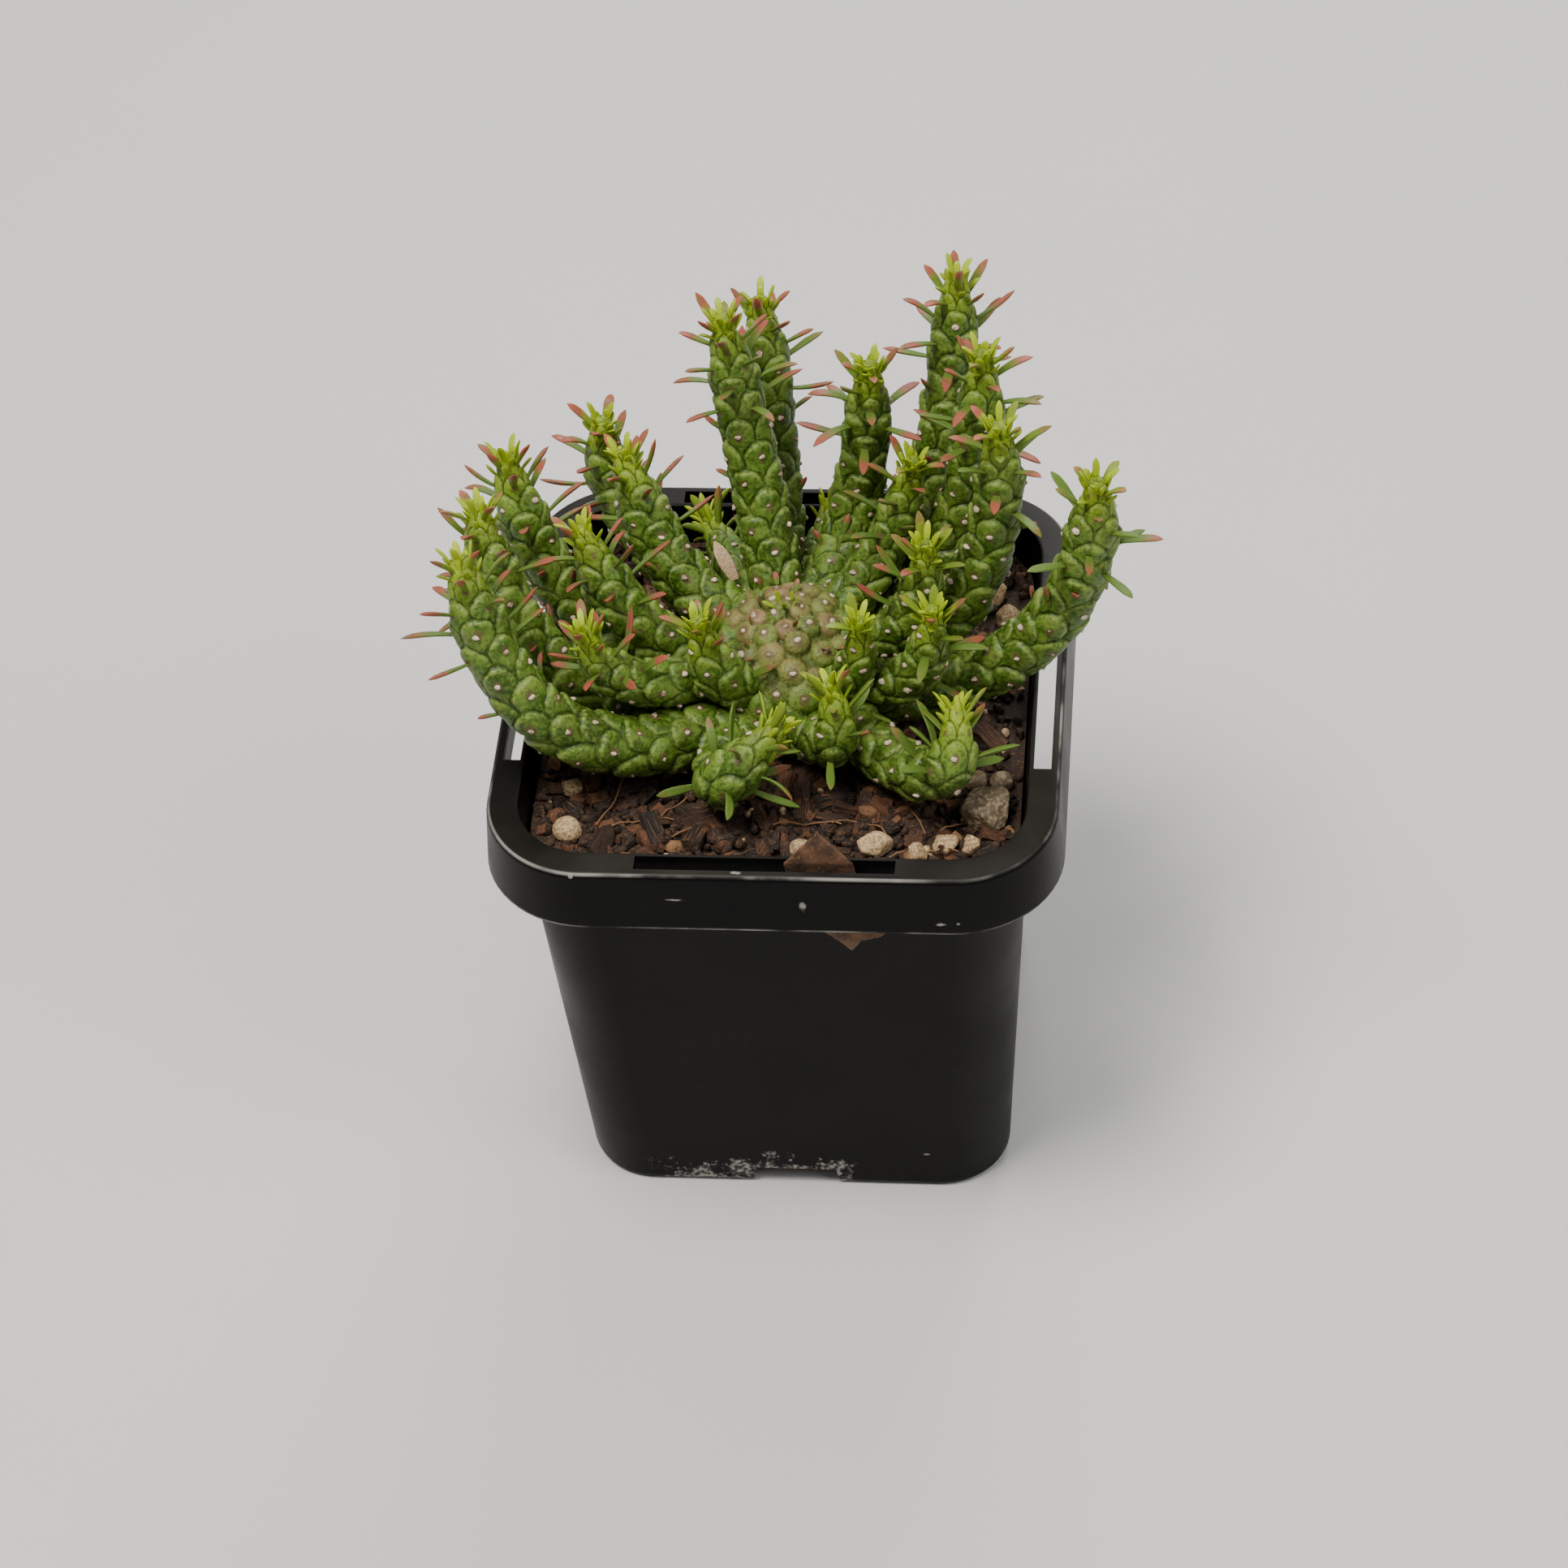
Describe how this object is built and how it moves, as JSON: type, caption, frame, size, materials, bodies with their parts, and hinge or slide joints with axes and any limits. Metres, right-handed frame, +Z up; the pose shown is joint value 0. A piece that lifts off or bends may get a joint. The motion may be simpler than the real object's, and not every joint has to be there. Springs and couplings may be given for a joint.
{
  "type": "potted medusa's head euphorbia",
  "caption": "Small medusa's head euphorbia: a ring of upcurving tubercled arms on a squat head, rooted in bark soil in a square nursery pot.",
  "frame": {"origin": "middle of the pot's flat underside, on the surface that it stands on", "axes": "+Z up; the front of the pot, with the dry leaf in its lip, faces -Y; +X to the right seen from the front"},
  "size_m": [0.1043, 0.0877, 0.1243],
  "materials": {
    "black_plastic": "satin, injection moulded, worn pale along the rim",
    "bark_soil": "loose bark soil",
    "euphorbia_green": "living succulent skin",
    "grey_stone": "rough",
    "pale_pumice": "rough, porous",
    "red_bark": "rough bark",
    "dry_leaf_brown": "dry, matt"
  },
  "bodies": {
    "root": {"pot": "black_plastic", "soil": "bark_soil", "stem_head": "euphorbia_green", "arm_left_front": "euphorbia_green", "arm_left_outer": "euphorbia_green", "arm_left_rear": "euphorbia_green", "arm_left_inner": "euphorbia_green", "arm_left_short": "euphorbia_green", "arm_rear_left_inner": "euphorbia_green", "arm_rear_left_outer": "euphorbia_green", "arm_rear_inner": "euphorbia_green", "arm_rear_outer": "euphorbia_green", "arm_rear_right_inner": "euphorbia_green", "arm_rear_right_tall": "euphorbia_green", "arm_right_rear": "euphorbia_green", "arm_right_outer": "euphorbia_green", "arm_right_rear_inner": "euphorbia_green", "arm_right_inner": "euphorbia_green", "arm_right_long": "euphorbia_green", "arm_right_front_inner": "euphorbia_green", "arm_front_right_bud": "euphorbia_green", "arm_front_left_inner": "euphorbia_green", "arm_front_left_low": "euphorbia_green", "arm_front_low": "euphorbia_green", "arm_front_right_low": "euphorbia_green", "arm_back_left_low": "euphorbia_green", "arm_back_low": "euphorbia_green", "stone_grey_large": "grey_stone", "pebble_round": "pale_pumice", "pumice_front": "pale_pumice", "pumice_middle": "pale_pumice", "pumice_corner_a": "pale_pumice", "pumice_corner_b": "pale_pumice", "pumice_corner_c": "pale_pumice", "pebble_grey_a": "grey_stone", "pebble_grey_b": "grey_stone", "pumice_rear_a": "pale_pumice", "pumice_rear_b": "pale_pumice", "pumice_side": "pale_pumice", "bark_lump": "red_bark", "bark_chip": "red_bark", "dry_leaf": "dry_leaf_brown"}
  },
  "joints": []
}
